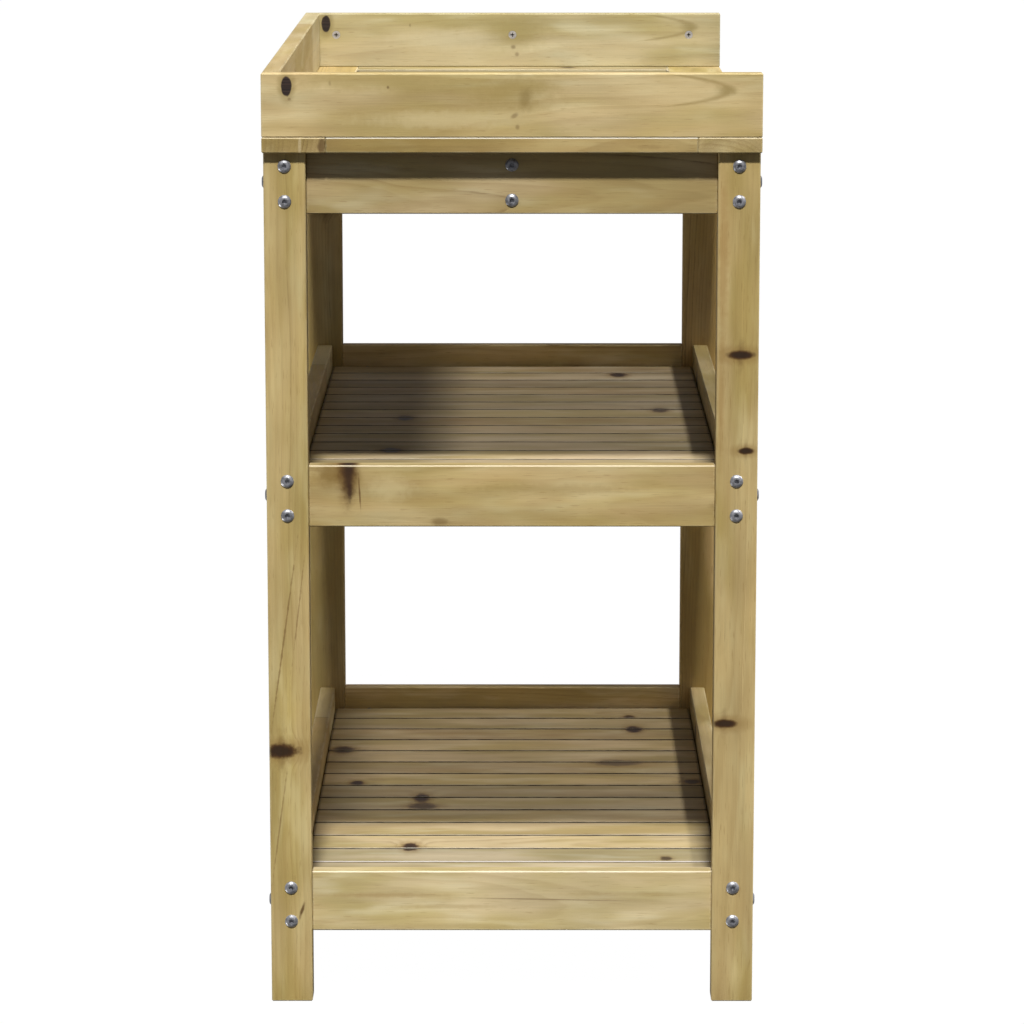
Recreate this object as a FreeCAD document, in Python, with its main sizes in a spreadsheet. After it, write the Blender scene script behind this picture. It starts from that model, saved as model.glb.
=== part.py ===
import FreeCAD, Part
import math
import os
import Sketcher

# Potting bench: four legs, three bolted rail frames, a raised-edge worktop of
# border boards and cross slats, and two slatted shelves.
#
# Frame: millimetres, +Z up.  The origin is on the floor, at the centre of the
# rectangle that the four legs stand on.  X runs along the length (left end at
# -X), Y across the depth (open front at -Y, back with its edge board at +Y).

V = FreeCAD.Vector
doc = FreeCAD.newDocument("potting_bench")

# ------------------------------------------------------------------ sizes ---
SIZES = [
    ("bench_long", 825.0),       # overall length of the worktop
    ("bench_deep", 450.0),       # overall depth of the worktop
    ("bench_tall", 865.0),       # floor to the top of the edge boards
    ("top_thick", 14.0),         # worktop boards and slats
    ("border_wide", 57.5),       # border boards of the worktop
    ("trim_tall", 57.5),         # raised edge boards, height
    ("trim_thin", 16.0),         # raised edge boards, thickness
    ("leg_broad", 38.0),         # leg section across the depth
    ("leg_thin", 28.0),          # leg section along the length
    ("leg_end_gap", 8.0),        # worktop overhang past the legs, each end
    ("leg_side_gap", 1.0),       # worktop overhang past the legs, each side
    ("rail_tall", 57.0),
    ("rail_thin", 16.0),
    ("lower_base", 65.0),        # underside of the lower shelf frame
    ("middle_base", 448.5),      # underside of the middle shelf frame
    ("slat_wide", 46.0),
    ("slat_thick", 14.0),
    ("slat_drop", 23.0),         # rail top to slat top
    ("slat_play", 1.0),          # end clearance of each slat
    ("shelf_slats", 15.0),
    ("top_slats", 14.0),
    ("batten_wide", 40.0),
    ("batten_thick", 16.0),
    ("arris", 1.0),              # bevel on every board edge
    ("bolt_rad", 3.0),           # M6 frame bolts
    ("bolt_hole_rad", 3.25),
    ("bolt_long", 75.0),
    ("bolt_head_rad", 6.0),
    ("bolt_head_tall", 2.4),
    ("bolt_rim", 0.7),
    ("bolt_spread", 32.0),       # spacing of a pair of bolts, one above the other
    ("socket_flats", 4.0),
    ("socket_deep", 2.6),
    ("nut_rad", 5.0),            # barrel nuts
    ("nut_long", 12.0),
    ("nut_hole_rad", 5.1),
    ("nut_hole_deep", 14.0),
    ("nut_setback", 10.0),       # bolt tip to the barrel nut's axis
    ("screw_rad", 2.0),          # countersunk wood screws
    ("screw_hole_rad", 2.05),
    ("screw_head_rad", 4.3),
    ("screw_long", 26.0),
    ("hook_height", 842.0),      # axis of the hook screws above the floor
    ("hook_pitch", 191.0),
    ("hook_wire_rad", 2.5),
    ("hook_bend_rad", 9.0),
]
sheet = doc.addObject("Spreadsheet::Sheet", "sizes")
for row, (alias, value) in enumerate(SIZES, start=1):
    sheet.set("A%d" % row, alias)
    sheet.set("B%d" % row, repr(value))
    sheet.setAlias("B%d" % row, alias)
doc.recompute()


def ex(text):
    """A formula in which every @name is a cell of the sheet."""
    return text.replace("@", "sizes.")


def num(text):
    """The same formula as a number, for first guesses and for tests."""
    names = {a: sheet.get(a) for a, _ in SIZES}
    out, i = "", 0
    while i < len(text):
        if text[i] == "@":
            j = i + 1
            while j < len(text) and (text[j].isalnum() or text[j] == "_"):
                j += 1
            out += repr(float(names[text[i + 1:j]]))
            i = j
        else:
            out += text[i]
            i += 1
    return calc(out)


def calc(text):
    """Value of a sum made of + - * / and brackets."""
    toks, i = [], 0
    while i < len(text):
        c = text[i]
        if c.isspace():
            i += 1
        elif c in "+-*/()":
            toks.append(c)
            i += 1
        else:
            j = i
            while j < len(text) and (text[j].isdigit() or text[j] in ".e"):
                j += 1
            toks.append(float(text[i:j]))
            i = j
    pos = [0]

    def peek():
        return toks[pos[0]] if pos[0] < len(toks) else None

    def take():
        pos[0] += 1
        return toks[pos[0] - 1]

    def atom():
        tok = take()
        if tok == "(":
            val = total()
            take()
            return val
        if tok == "-":
            return -atom()
        if tok == "+":
            return atom()
        return tok

    def product():
        val = atom()
        while peek() in ("*", "/"):
            if take() == "*":
                val *= atom()
            else:
                val /= atom()
        return val

    def total():
        val = product()
        while peek() in ("+", "-"):
            if take() == "+":
                val += product()
            else:
                val -= product()
        return val

    return total()


# Derived places, as formulas of the sheet.
TOP_UNDER = "(@bench_tall - @trim_tall - @top_thick)"
UPPER_BASE = "(@bench_tall - @trim_tall - @top_thick - @rail_tall)"
LEG_XO = "(@bench_long / 2 - @leg_end_gap)"
LEG_XI = "(@bench_long / 2 - @leg_end_gap - @leg_thin)"
LEG_YO = "(@bench_deep / 2 - @leg_side_gap)"
LEG_YI = "(@bench_deep / 2 - @leg_side_gap - @leg_broad)"
RAIL_YC = "(@bench_deep / 2 - @leg_side_gap - @leg_broad / 2)"
RAIL_YI = "(@bench_deep / 2 - @leg_side_gap - @leg_broad / 2 - @rail_thin / 2)"
INNER_LONG = "(@bench_long - 2 * @leg_end_gap - 2 * @leg_thin)"
INNER_WIDE = "(@bench_deep - 2 * @leg_side_gap - 2 * @leg_broad)"
TOP_LONG = "(@bench_long - 2 * @border_wide)"
TOP_WIDE = "(@bench_deep - 2 * @border_wide)"
SHELF_GAP = "((%s - @shelf_slats * @slat_wide) / (@shelf_slats + 1))" % INNER_LONG
TOP_GAP = "((%s - @top_slats * @slat_wide) / (@top_slats + 1))" % TOP_LONG
RAIL_MID = "(@rail_tall / 2)"
BOLT_HI = "(@rail_tall / 2 + @bolt_spread / 2)"
BOLT_LO = "(@rail_tall / 2 - @bolt_spread / 2)"
PILOT_SLAT = "(@screw_long - @batten_thick)"
PILOT_TRIM = "(@screw_long - @top_thick)"

counter = [0]


def fresh(stem):
    counter[0] += 1
    return "%s_%03d" % (stem, counter[0])


def plane_of(body, role):
    return [f for f in body.Origin.OriginFeatures if f.Role == role][0]


# --------------------------------------------------------- board modelling ---
def sketch_on(body, role, start):
    """A sketch on one of the body's own origin planes, moved to 'start' along
    the axis that the plane faces."""
    sk = body.newObject("Sketcher::SketchObject", fresh("sketch"))
    sk.AttachmentSupport = [(plane_of(body, role), "")]
    sk.MapMode = "FlatFace"
    if start:
        sign = "-" if role == "XZ_Plane" else ""
        sk.setExpression("AttachmentOffset.Base.z", ex("%s(%s)" % (sign, start)))
    return sk


def board(name, long_x, long_y, long_z, at, bevel=True):
    """A sawn board with its lowest corner at 'at' and a bevel on every edge."""
    body = doc.addObject("PartDesign::Body", name)
    body.Label = name
    sk = sketch_on(body, "XY_Plane", None)
    lx, ly = num(long_x), num(long_y)
    pts = [V(0, 0, 0), V(lx, 0, 0), V(lx, ly, 0), V(0, ly, 0)]
    for i in range(4):
        sk.addGeometry(Part.LineSegment(pts[i], pts[(i + 1) % 4]))
    for i in range(4):
        sk.addConstraint(Sketcher.Constraint("Coincident", i, 2, (i + 1) % 4, 1))
    sk.addConstraint(Sketcher.Constraint("Horizontal", 0))
    sk.addConstraint(Sketcher.Constraint("Vertical", 1))
    sk.addConstraint(Sketcher.Constraint("Horizontal", 2))
    sk.addConstraint(Sketcher.Constraint("Vertical", 3))
    sk.addConstraint(Sketcher.Constraint("Coincident", 0, 1, -1, 1))
    ix = sk.addConstraint(Sketcher.Constraint("DistanceX", 0, 1, 0, 2, lx))
    sk.renameConstraint(ix, "long_x")
    iy = sk.addConstraint(Sketcher.Constraint("DistanceY", 1, 1, 1, 2, ly))
    sk.renameConstraint(iy, "long_y")
    sk.setExpression("Constraints.long_x", ex(long_x))
    sk.setExpression("Constraints.long_y", ex(long_y))
    pad = body.newObject("PartDesign::Pad", fresh("pad"))
    pad.Profile = sk
    pad.setExpression("Length", ex(long_z))
    doc.recompute([sk, pad, body])
    if bevel:
        cut = body.newObject("PartDesign::Chamfer", fresh("bevel"))
        cut.Base = (pad, ["Edge%d" % (k + 1) for k in range(len(pad.Shape.Edges))])
        cut.setExpression("Size", ex("@arris"))
    for axis, text in zip("xyz", at):
        body.setExpression("Placement.Base.%s" % axis, ex(text))
    return body


NORMAL = {"XY_Plane": (2, 1), "XZ_Plane": (1, -1), "YZ_Plane": (0, 1)}


def circles(body, role, start, spots, radius):
    sk = sketch_on(body, role, start)
    for k, (u, v) in enumerate(spots):
        sk.addGeometry(Part.Circle(V(num(u), num(v), 0), V(0, 0, 1), num(radius)))
        for kind, letter, text in (("DistanceX", "u", u), ("DistanceY", "v", v)):
            idx = sk.addConstraint(Sketcher.Constraint(kind, -1, 1, k, 3, num(text)))
            sk.renameConstraint(idx, "%s%d" % (letter, k))
            sk.setExpression("Constraints.%s%d" % (letter, k), ex(text))
        idx = sk.addConstraint(Sketcher.Constraint("Radius", k, num(radius)))
        sk.renameConstraint(idx, "rad%d" % k)
        sk.setExpression("Constraints.rad%d" % k, ex(radius))
    return sk


CUTS = []


def drill(body, role, spots, radius, deep, start=None, way=1):
    """Round holes, from the plane at 'start', towards +axis or -axis (way).
    deep=None drills right through."""
    sk = circles(body, role, start, spots, radius)
    cut = body.newObject("PartDesign::Pocket", fresh("holes"))
    cut.Profile = sk
    if deep is None:
        cut.Type = "ThroughAll"
    else:
        cut.Type = "Length"
        cut.setExpression("Length", ex(deep))
    cut.Reversed = (way == NORMAL[role][1])
    CUTS.append((body, cut, len(spots), radius, deep))
    return cut


def sink(body, role, spots, deep, start=None, way=1):
    """Countersunk screw holes with their mouths on the plane at 'start'."""
    sk = circles(body, role, start, spots, "@screw_hole_rad")
    doc.recompute()
    cut = body.newObject("PartDesign::Hole", fresh("screw_holes"))
    cut.Profile = sk
    doc.recompute()
    cut.Threaded = False
    cut.ThreadType = "None"
    cut.setExpression("Diameter", ex("2 * @screw_hole_rad"))
    cut.HoleCutType = "Countersink"
    cut.HoleCutCustomValues = True
    cut.setExpression("HoleCutDiameter", ex("2 * (@screw_head_rad + 0.15)"))
    cut.HoleCutCountersinkAngle = 90.0
    cut.DepthType = "ThroughAll"
    cut.Reversed = (way == NORMAL[role][1])
    CUTS.append((body, cut, len(spots), "@screw_hole_rad", deep))
    return cut


NODES = []


def keep(obj):
    NODES.append(obj)
    return obj


# ------------------------------------------------------------------- legs ---
LEVELS = ["@lower_base", "@middle_base", UPPER_BASE]


def leg(name, side_x, side_y):
    at_x = LEG_XI if side_x > 0 else "-%s" % LEG_XO
    at_y = LEG_YI if side_y > 0 else "-%s" % LEG_YO
    body = board(name, "@leg_thin", "@leg_broad", TOP_UNDER, (at_x, at_y, "0"))
    pairs = []
    for base in LEVELS:
        for off in (BOLT_LO, BOLT_HI):
            pairs.append(("@leg_broad / 2", "%s + %s" % (base, off)))
    drill(body, "YZ_Plane", pairs, "@bolt_hole_rad", None, way=1)
    mid = "@rail_thin / 2" if side_x > 0 else "@leg_thin - @rail_thin / 2"
    drill(body, "XZ_Plane", [(mid, "%s + %s" % (base, RAIL_MID)) for base in LEVELS],
          "@bolt_hole_rad", None, way=1)
    return keep(body)


leg("left_front_leg", -1, -1)
leg("left_back_leg", -1, 1)
leg("right_front_leg", 1, -1)
leg("right_back_leg", 1, 1)


# ------------------------------------------------------------------ rails ---
def long_rail(name, side_y, base):
    """Runs between the legs along the length, one bolt pair into each end."""
    at_y = RAIL_YI if side_y > 0 else "-(%s + @rail_thin)" % RAIL_YI
    body = board(name, INNER_LONG, "@rail_thin", "@rail_tall",
                 ("-%s" % LEG_XI, at_y, base))
    ends = [("@rail_thin / 2", BOLT_LO), ("@rail_thin / 2", BOLT_HI)]
    deep = "@bolt_long - @leg_thin + 3"
    drill(body, "YZ_Plane", ends, "@bolt_hole_rad", deep, way=1)
    drill(body, "YZ_Plane", ends, "@bolt_hole_rad", deep, start=INNER_LONG, way=-1)
    back = "(@bolt_long - @leg_thin - @nut_setback)"
    nuts = [(u, v) for u in (back, "%s - %s" % (INNER_LONG, back))
            for v in (BOLT_LO, BOLT_HI)]
    if side_y > 0:
        drill(body, "XZ_Plane", nuts, "@nut_hole_rad", "@nut_hole_deep", way=1)
    else:
        drill(body, "XZ_Plane", nuts, "@nut_hole_rad", "@nut_hole_deep",
              start="@rail_thin", way=-1)
    return keep(body)


def end_rail(name, side_x, base, stringer=False):
    """Runs between a front and a back leg, one bolt into each end."""
    at_x = LEG_XI if side_x > 0 else "-(%s + @rail_thin)" % LEG_XI
    body = board(name, "@rail_thin", INNER_WIDE, "@rail_tall",
                 (at_x, "-%s" % LEG_YI, base))
    ends = [("@rail_thin / 2", RAIL_MID)]
    deep = "@bolt_long - @leg_broad + 3"
    drill(body, "XZ_Plane", ends, "@bolt_hole_rad", deep, way=1)
    drill(body, "XZ_Plane", ends, "@bolt_hole_rad", deep, start=INNER_WIDE, way=-1)
    back = "(@bolt_long - @leg_broad - @nut_setback)"
    nuts = [(back, RAIL_MID), ("%s - %s" % (INNER_WIDE, back), RAIL_MID)]
    if side_x > 0:
        drill(body, "YZ_Plane", nuts, "@nut_hole_rad", "@nut_hole_deep", way=1)
    else:
        drill(body, "YZ_Plane", nuts, "@nut_hole_rad", "@nut_hole_deep",
              start="@rail_thin", way=-1)
    if stringer:
        drill(body, "YZ_Plane", [("%s / 2" % INNER_WIDE, BOLT_LO),
                                 ("%s / 2" % INNER_WIDE, BOLT_HI)],
              "@bolt_hole_rad", None, way=1)
    return keep(body)


long_rail("front_apron", -1, UPPER_BASE)
long_rail("back_apron", 1, UPPER_BASE)
end_rail("left_apron", -1, UPPER_BASE, stringer=True)
end_rail("right_apron", 1, UPPER_BASE, stringer=True)

stringer = board("centre_stringer", INNER_LONG, "@rail_thin", "@rail_tall",
                 ("-%s" % LEG_XI, "-@rail_thin / 2", UPPER_BASE))
s_ends = [("@rail_thin / 2", BOLT_LO), ("@rail_thin / 2", BOLT_HI)]
s_deep = "@bolt_long - @rail_thin + 3"
drill(stringer, "YZ_Plane", s_ends, "@bolt_hole_rad", s_deep, way=1)
drill(stringer, "YZ_Plane", s_ends, "@bolt_hole_rad", s_deep, start=INNER_LONG, way=-1)
s_back = "(@bolt_long - @rail_thin - @nut_setback)"
drill(stringer, "XZ_Plane",
      [(u, v) for u in (s_back, "%s - %s" % (INNER_LONG, s_back)) for v in (BOLT_LO, BOLT_HI)],
      "@nut_hole_rad", "@nut_hole_deep", way=1)
keep(stringer)

for level, base in (("middle", "@middle_base"), ("lower", "@lower_base")):
    long_rail("%s_front_rail" % level, -1, base)
    long_rail("%s_back_rail" % level, 1, base)
    end_rail("%s_left_rail" % level, -1, base)
    end_rail("%s_right_rail" % level, 1, base)

# ------------------------------------------------------------ shelf slats ---
SHELF_SCREW_Y = "(@batten_wide / 2 - @slat_play)"      # from the slat's end
SLAT_LONG = "(2 * %s - 2 * @slat_play)" % RAIL_YI


def slat(name, wide, long_y, thick, at, screw_in):
    body = board(name, wide, long_y, thick, at)
    drill(body, "XY_Plane",
          [("%s / 2" % wide, screw_in), ("%s / 2" % wide, "%s - %s" % (long_y, screw_in))],
          "@screw_hole_rad", PILOT_SLAT, way=1)
    return body


for level, base in (("middle", "@middle_base"), ("lower", "@lower_base")):
    z0 = "%s + @rail_tall - @slat_drop - @slat_thick" % base
    for i in range(int(num("@shelf_slats"))):
        x0 = "-%s + %s + %d * (@slat_wide + %s)" % (LEG_XI, SHELF_GAP, i, SHELF_GAP)
        keep(slat("%s_shelf_slat_%02d" % (level, i + 1), "@slat_wide", SLAT_LONG,
                  "@slat_thick", (x0, "-%s + @slat_play" % RAIL_YI, z0), SHELF_SCREW_Y))

# --------------------------------------------------------------- worktop ---
TOP_SCREW_Y = "(@batten_wide / 4 - @slat_play)"        # from the slat's end
BORDER_SPOTS = ["%s * %s" % (INNER_LONG, k) for k in ("0.08", "0.29", "0.5", "0.71", "0.92")]


def border_long(name, side_y):
    at_y = "@bench_deep / 2 - @border_wide" if side_y > 0 else "-@bench_deep / 2"
    body = board(name, "@bench_long", "@border_wide", "@top_thick",
                 ("-@bench_long / 2", at_y, TOP_UNDER))
    inset = "@batten_wide / 4"
    v = inset if side_y > 0 else "@border_wide - %s" % inset
    start_x = "(@bench_long - %s) / 2" % INNER_LONG
    drill(body, "XY_Plane", [("%s + %s" % (start_x, u), v) for u in BORDER_SPOTS],
          "@screw_hole_rad", PILOT_SLAT, way=1)
    if side_y > 0:
        sink(body, "XY_Plane",
             [("@bench_long * %s" % k, "@border_wide - @trim_thin / 2")
              for k in ("0.14", "0.32", "0.5", "0.68", "0.86")], "@top_thick", way=1)
    return keep(body)


border_long("worktop_front_board", -1)
border_long("worktop_back_board", 1)


def border_end(name, side_x):
    at_x = "@bench_long / 2 - @border_wide" if side_x > 0 else "-@bench_long / 2"
    body = board(name, "@border_wide", TOP_WIDE, "@top_thick",
                 (at_x, "-%s / 2" % TOP_WIDE, TOP_UNDER))
    lap = "((@border_wide - @leg_end_gap - @leg_thin) / 2)"
    u = lap if side_x > 0 else "@border_wide - %s" % lap
    drill(body, "XY_Plane", [(u, "@batten_wide / 4"), (u, "%s - @batten_wide / 4" % TOP_WIDE)],
          "@screw_hole_rad", PILOT_SLAT, way=1)
    edge = "@border_wide - @trim_thin / 2" if side_x > 0 else "@trim_thin / 2"
    sink(body, "XY_Plane", [(edge, "%s * %s" % (TOP_WIDE, k)) for k in ("0.12", "0.5", "0.88")],
         "@top_thick", way=1)
    return keep(body)


border_end("worktop_left_board", -1)
border_end("worktop_right_board", 1)

top_slats = []
for i in range(int(num("@top_slats"))):
    x0 = "-%s / 2 + %s + %d * (@slat_wide + %s)" % (TOP_LONG, TOP_GAP, i, TOP_GAP)
    top_slats.append(slat("top_slat_%02d" % (i + 1), "@slat_wide",
                          "(%s - 2 * @slat_play)" % TOP_WIDE, "@top_thick",
                          (x0, "-%s / 2 + @slat_play" % TOP_WIDE, TOP_UNDER), TOP_SCREW_Y))
group = doc.addObject("Part::Compound", "worktop_slats")
group.Label = "worktop_slats"
group.Links = top_slats
keep(group)

# ----------------------------------------------------- raised edge boards ---
TRIM_Z = "(@bench_tall - @trim_tall)"


def end_trim(name, side_x):
    at_x = "@bench_long / 2 - @trim_thin" if side_x > 0 else "-@bench_long / 2"
    body = board(name, "@trim_thin", "@bench_deep", "@trim_tall",
                 (at_x, "-@bench_deep / 2", TRIM_Z))
    drill(body, "XY_Plane",
          [("@trim_thin / 2", "@border_wide + %s * %s" % (TOP_WIDE, k))
           for k in ("0.12", "0.5", "0.88")],
          "@screw_hole_rad", PILOT_TRIM, way=1)
    if side_x > 0:
        sink(body, "YZ_Plane",
             [("@bench_deep / 2 + %d * @hook_pitch" % k, "@hook_height - %s" % TRIM_Z)
              for k in (-1, 0, 1)], "@trim_thin", way=1)
    return keep(body)


end_trim("left_edge_board", -1)
end_trim("right_edge_board", 1)

back_trim = board("back_edge_board", "(@bench_long - 2 * @trim_thin)", "@trim_thin", "@trim_tall",
                  ("-@bench_long / 2 + @trim_thin", "@bench_deep / 2 - @trim_thin", TRIM_Z))
drill(back_trim, "XY_Plane",
      [("@bench_long * %s - @trim_thin" % k, "@trim_thin / 2")
       for k in ("0.14", "0.32", "0.5", "0.68", "0.86")],
      "@screw_hole_rad", PILOT_TRIM, way=1)
keep(back_trim)


# ---------------------------------------------------------------- battens ---
def batten(name, at_y, at_z, spots):
    body = board(name, INNER_LONG, "@batten_wide", "@batten_thick",
                 ("-%s" % LEG_XI, at_y, at_z))
    sink(body, "XY_Plane", spots, "@batten_thick", way=1)
    return body


battens = []
for level, base in (("middle", "@middle_base"), ("lower", "@lower_base")):
    z0 = "%s + @rail_tall - @slat_drop - @slat_thick - @batten_thick" % base
    spots = [("%s + @slat_wide / 2 + %d * (@slat_wide + %s)" % (SHELF_GAP, i, SHELF_GAP),
              "@batten_wide / 2") for i in range(int(num("@shelf_slats")))]
    battens.append(batten("%s_front_batten" % level, "-%s" % RAIL_YI, z0, spots))
    battens.append(batten("%s_back_batten" % level, "%s - @batten_wide" % RAIL_YI, z0, spots))
for side, name in ((-1, "top_front_batten"), (1, "top_back_batten")):
    slat_v = "@batten_wide * 0.75" if side < 0 else "@batten_wide * 0.25"
    edge_v = "@batten_wide * 0.25" if side < 0 else "@batten_wide * 0.75"
    lap = "((@border_wide - @leg_end_gap - @leg_thin) / 2)"
    spots = [("(%s - %s) / 2 + %s + @slat_wide / 2 + %d * (@slat_wide + %s)"
              % (INNER_LONG, TOP_LONG, TOP_GAP, i, TOP_GAP), slat_v)
             for i in range(int(num("@top_slats")))]
    spots += [(lap, slat_v), ("%s - %s" % (INNER_LONG, lap), slat_v)]
    spots += [(u, edge_v) for u in BORDER_SPOTS]
    centre = "%s%s / 2 - @batten_wide / 2" % ("-" if side < 0 else "", TOP_WIDE)
    battens.append(batten(name, centre, "%s - @batten_thick" % TOP_UNDER, spots))
group = doc.addObject("Part::Compound", "deck_battens")
group.Label = "deck_battens"
group.Links = battens
keep(group)


# -------------------------------------------------------------- fasteners ---
def place(label, master, spots):
    """One node of equal pieces: links to the master, each with its place."""
    links = []
    for k, (x, y, z, rot) in enumerate(spots):
        link = doc.addObject("App::Link", fresh(label))
        link.LinkedObject = master
        link.Placement = FreeCAD.Placement(V(num(x), num(y), num(z)), rot)
        for axis, text in zip("xyz", (x, y, z)):
            link.setExpression("Placement.Base.%s" % axis, ex(text))
        links.append(link)
    node = doc.addObject("Part::Compound", label)
    node.Label = label
    node.Links = links
    return keep(node)


def toward(x, y, z):
    """The turn that takes +Z to this direction."""
    return FreeCAD.Rotation(V(0, 0, 1), V(x, y, z))


# Frame bolt: the shank runs along +Z from the underside of the head at z = 0.
bolt = doc.addObject("PartDesign::Body", "bolt_pattern")
sk = bolt.newObject("Sketcher::SketchObject", "bolt_profile")
sk.AttachmentSupport = [(plane_of(bolt, "XZ_Plane"), "")]
sk.MapMode = "FlatFace"
hr, ht, rim, br, bl = (num("@" + n) for n in
                       ("bolt_head_rad", "bolt_head_tall", "bolt_rim", "bolt_rad", "bolt_long"))
crown = 3.4                                   # flat on top of the crowned head
profile = [(0, bl), (br - 1, bl), (br, bl - 1), (br, 0), (hr, 0), (hr, -rim),
           (crown, -ht), (0, -ht)]
for i in range(len(profile)):
    a, b = profile[i], profile[(i + 1) % len(profile)]
    if i == 5:                                # drawn anticlockwise, so from b to a
        sk.addGeometry(Part.Arc(V(b[0], b[1], 0), V(4.95, -1.85, 0), V(a[0], a[1], 0)))
    else:
        sk.addGeometry(Part.LineSegment(V(a[0], a[1], 0), V(b[0], b[1], 0)))
last = len(profile) - 1
for i in range(len(profile)):
    j = (i + 1) % len(profile)
    sk.addConstraint(Sketcher.Constraint("Coincident", i, 1 if i == 5 else 2,
                                         j, 2 if j == 5 else 1))


def dim(kind, geo, pos, text, name, sign=1):
    val = sign * num(text)
    idx = sk.addConstraint(Sketcher.Constraint(kind, -1, 1, geo, pos, val))
    sk.renameConstraint(idx, name)
    sk.setExpression("Constraints.%s" % name, ex(("-(%s)" if sign < 0 else "%s") % text))


sk.addConstraint(Sketcher.Constraint("PointOnObject", 0, 1, -2))
sk.addConstraint(Sketcher.Constraint("Vertical", last))
sk.addConstraint(Sketcher.Constraint("Horizontal", 0))
sk.addConstraint(Sketcher.Constraint("Vertical", 2))
sk.addConstraint(Sketcher.Constraint("Horizontal", 3))
sk.addConstraint(Sketcher.Constraint("Vertical", 4))
sk.addConstraint(Sketcher.Constraint("Horizontal", 6))
sk.addConstraint(Sketcher.Constraint("PointOnObject", 3, 2, -1))
dim("DistanceY", 0, 2, "@bolt_long", "tip_y")
dim("DistanceX", 0, 2, "@bolt_rad - 1", "tip_x")
dim("DistanceX", 1, 2, "@bolt_rad", "shank_x")
dim("DistanceY", 1, 2, "@bolt_long - 1", "shoulder_y")
dim("DistanceX", 3, 2, "@bolt_head_rad", "head_x")
dim("DistanceY", 4, 2, "@bolt_rim", "rim_y", -1)
dim("DistanceX", 6, 1, "3.4", "crown_x")
dim("DistanceY", 6, 1, "@bolt_head_tall", "crown_y", -1)
idx = sk.addConstraint(Sketcher.Constraint("Radius", 5, 4.2))
sk.renameConstraint(idx, "crown_rad")
doc.recompute()
rev = bolt.newObject("PartDesign::Revolution", "bolt_turned")
rev.Profile = sk
rev.ReferenceAxis = (sk, ["V_Axis"])
rev.Angle = 360.0
doc.recompute()
hexa = bolt.newObject("Sketcher::SketchObject", "bolt_socket")
hexa.AttachmentSupport = [(plane_of(bolt, "XY_Plane"), "")]
hexa.MapMode = "FlatFace"
hexa.setExpression("AttachmentOffset.Base.z", ex("-@bolt_head_tall"))
hexr = num("@socket_flats") / 2 / math.cos(math.pi / 6)
hp = [V(hexr * math.cos(math.pi / 3 * k), hexr * math.sin(math.pi / 3 * k), 0) for k in range(6)]
for k in range(6):
    hexa.addGeometry(Part.LineSegment(hp[k], hp[(k + 1) % 6]))
for k in range(6):
    hexa.addConstraint(Sketcher.Constraint("Coincident", k, 2, (k + 1) % 6, 1))
ring = hexa.addGeometry(Part.Circle(V(0, 0, 0), V(0, 0, 1), hexr), True)
hexa.addConstraint(Sketcher.Constraint("Coincident", ring, 3, -1, 1))
for k in range(6):
    hexa.addConstraint(Sketcher.Constraint("PointOnObject", k, 1, ring))
for k in range(5):
    hexa.addConstraint(Sketcher.Constraint("Equal", k, k + 1))
hexa.addConstraint(Sketcher.Constraint("PointOnObject", 0, 1, -1))
idx = hexa.addConstraint(Sketcher.Constraint("Radius", ring, hexr))
hexa.renameConstraint(idx, "corner_rad")
hexa.setExpression("Constraints.corner_rad", ex("@socket_flats / 2 / cos(30)"))
doc.recompute()
cut = bolt.newObject("PartDesign::Pocket", "bolt_socket_cut")
cut.Profile = hexa
cut.Type = "Length"
cut.setExpression("Length", ex("@socket_deep"))
cut.Reversed = True
doc.recompute()
BOLT_WHOLE, BOLT_CUT = rev.Shape.Volume, cut.Shape.Volume

level_bases = [("@lower_base"), ("@middle_base"), UPPER_BASE]
bolt_spots, nut_spots = [], []
for base in level_bases:
    for sx in (-1, 1):
        for sy in (-1, 1):
            for off in (BOLT_LO, BOLT_HI):
                bolt_spots.append(("%d * %s" % (sx, LEG_XO), "%d * %s" % (sy, RAIL_YC),
                                   "%s + %s" % (base, off), toward(-sx, 0, 0)))
                nut_spots.append(("%d * (%s - @bolt_long + @nut_setback)" % (sx, LEG_XO),
                                  "%d * %s" % (sy, RAIL_YC), "%s + %s" % (base, off), "y"))
            mid_x = "%d * (%s + @rail_thin / 2)" % (sx, LEG_XI)
            bolt_spots.append((mid_x, "%d * %s" % (sy, LEG_YO),
                               "%s + %s" % (base, RAIL_MID), toward(0, -sy, 0)))
            nut_spots.append((mid_x, "%d * (%s - @bolt_long + @nut_setback)" % (sy, LEG_YO),
                              "%s + %s" % (base, RAIL_MID), "x"))
for sx in (-1, 1):
    for off in (BOLT_LO, BOLT_HI):
        bolt_spots.append(("%d * (%s + @rail_thin)" % (sx, LEG_XI), "0",
                           "%s + %s" % (UPPER_BASE, off), toward(-sx, 0, 0)))
        nut_spots.append(("%d * (%s + @rail_thin - @bolt_long + @nut_setback)" % (sx, LEG_XI), "0",
                          "%s + %s" % (UPPER_BASE, off), "y"))
place("frame_bolts", bolt, bolt_spots)

# Barrel nut: a short rod along Z with a tapped hole across it, along X.
nut_rod = doc.addObject("Part::Cylinder", "nut_rod")
nut_rod.setExpression("Radius", ex("@nut_rad"))
nut_rod.setExpression("Height", ex("@nut_long"))
nut_rod.setExpression("Placement.Base.z", ex("-@nut_long / 2"))
nut_bore = doc.addObject("Part::Cylinder", "nut_bore")
nut_bore.setExpression("Radius", ex("@bolt_rad + 0.02"))
nut_bore.setExpression("Height", ex("4 * @nut_rad"))
nut_bore.Placement = FreeCAD.Placement(V(-2 * num("@nut_rad"), 0, 0), toward(1, 0, 0))
nut_bore.setExpression("Placement.Base.x", ex("-2 * @nut_rad"))
nut = doc.addObject("Part::Cut", "nut_pattern")
nut.Base, nut.Tool = nut_rod, nut_bore
doc.recompute()
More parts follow.
